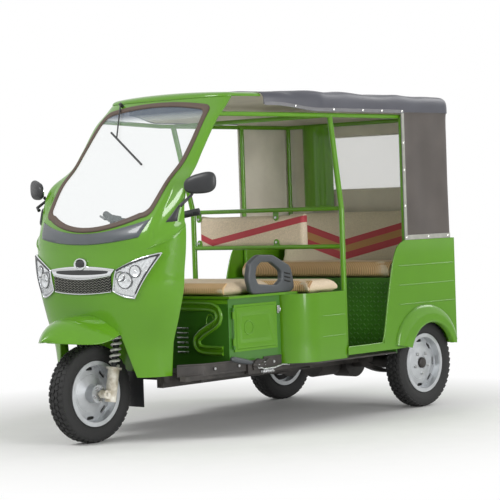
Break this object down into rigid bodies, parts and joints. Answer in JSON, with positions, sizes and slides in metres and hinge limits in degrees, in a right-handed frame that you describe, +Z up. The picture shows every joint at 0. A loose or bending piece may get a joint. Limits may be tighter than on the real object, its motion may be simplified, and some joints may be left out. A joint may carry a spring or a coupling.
{
  "type": "electric passenger tricycle",
  "caption": "Three-wheeled electric passenger tricycle with a moulded cowl, handlebar steering, bench seats, open doorways and a vinyl canopy on a tube frame.",
  "frame": {"origin": "on the ground, below the middle of the vehicle's box", "axes": "+Z up, -Y to the front, +X to the vehicle's left"},
  "size_m": [1.34, 2.636, 1.768],
  "materials": {
    "green_paint": "gloss",
    "dark_paint": "satin",
    "band_grey": "gloss",
    "seal_rubber": "matte",
    "screen_glass": "clear",
    "lamp_silver": "bright",
    "lamp_clear": "clear",
    "black_plastic": "matte",
    "chrome_trim": "bright",
    "canopy_vinyl": "satin",
    "window_film": "clear",
    "lamp_red": "gloss",
    "beige_vinyl": "satin",
    "grey_plastic": "satin",
    "battery_case": "matte",
    "fork_cream": "satin",
    "spring_steel": "satin",
    "rim_silver": "satin",
    "tyre_rubber": "matte"
  },
  "bodies": {
    "root": {"chassis_rails": "dark_paint", "cross_members": "dark_paint", "side_beams": "dark_paint", "head_frame": "dark_paint", "floor_pan": "dark_paint", "front_cowl": "green_paint", "cowl_band": "band_grey", "windscreen_frame": "green_paint", "windscreen_seal": "seal_rubber", "windscreen_glass": "screen_glass", "roof_hood": "green_paint", "headlamp_housings": "lamp_silver", "headlamp_lenses": "lamp_clear", "grille_mesh": "black_plastic", "grille_trim": "chrome_trim", "front_mudguard": "green_paint", "mirrors": "black_plastic", "wiper": "black_plastic", "leg_shield": "green_paint", "dashboard": "black_plastic", "mudflap": "black_plastic", "body_frame": "green_paint", "canopy_cover": "canopy_vinyl", "curtains": "canopy_vinyl", "rear_window": "window_film", "rear_side_panels": "green_paint", "rear_panel": "green_paint", "rear_fenders": "green_paint", "rear_lamps": "lamp_red", "rear_seat_box": "green_paint", "middle_seat_box": "green_paint", "driver_seat_box": "green_paint", "driver_seat_plate": "green_paint", "battery_pack": "battery_case", "driver_cushion": "beige_vinyl", "middle_cushion": "beige_vinyl", "middle_backrest": "beige_vinyl", "rear_cushion": "beige_vinyl", "rear_backrest": "beige_vinyl", "armrest_handles": "grey_plastic", "brake_controls": "dark_paint", "rear_axle": "dark_paint", "traction_motor": "dark_paint", "leaf_springs": "dark_paint"},
    "battery_door": {"battery_door": "green_paint"},
    "steering": {"steering_stem": "dark_paint", "fork_legs": "fork_cream", "fork_springs": "spring_steel", "handlebar": "black_plastic"},
    "front_wheel": {"front_tyre": "tyre_rubber", "front_rim": "rim_silver"},
    "rear_wheel_left": {"rear_tyre_left": "tyre_rubber", "rear_rim_left": "rim_silver"},
    "rear_wheel_right": {"rear_tyre_right": "tyre_rubber", "rear_rim_right": "rim_silver"}
  },
  "joints": [
    {"name": "steering_turn", "type": "hinge", "parent": "root", "child": "steering", "pos_m": [0, -0.95877, 0.23849], "axis": [0, 0.1908, 0.9816], "range_deg": [-38, 38]},
    {"name": "front_wheel_spin", "type": "hinge", "parent": "steering", "child": "front_wheel", "pos_m": [0, -1, 0.2465], "axis": [-1, 0, 0], "continuous": true},
    {"name": "rear_wheel_left_spin", "type": "hinge", "parent": "root", "child": "rear_wheel_left", "pos_m": [0.517, 1.057, 0.2465], "axis": [-1, 0, 0], "continuous": true},
    {"name": "rear_wheel_right_spin", "type": "hinge", "parent": "root", "child": "rear_wheel_right", "pos_m": [-0.517, 1.057, 0.2465], "axis": [-1, 0, 0], "continuous": true},
    {"name": "battery_door_swing", "type": "hinge", "parent": "root", "child": "battery_door", "pos_m": [0.49, -0.454, 0.542], "axis": [0, 0, -1], "range_deg": [0, 100]}
  ]
}
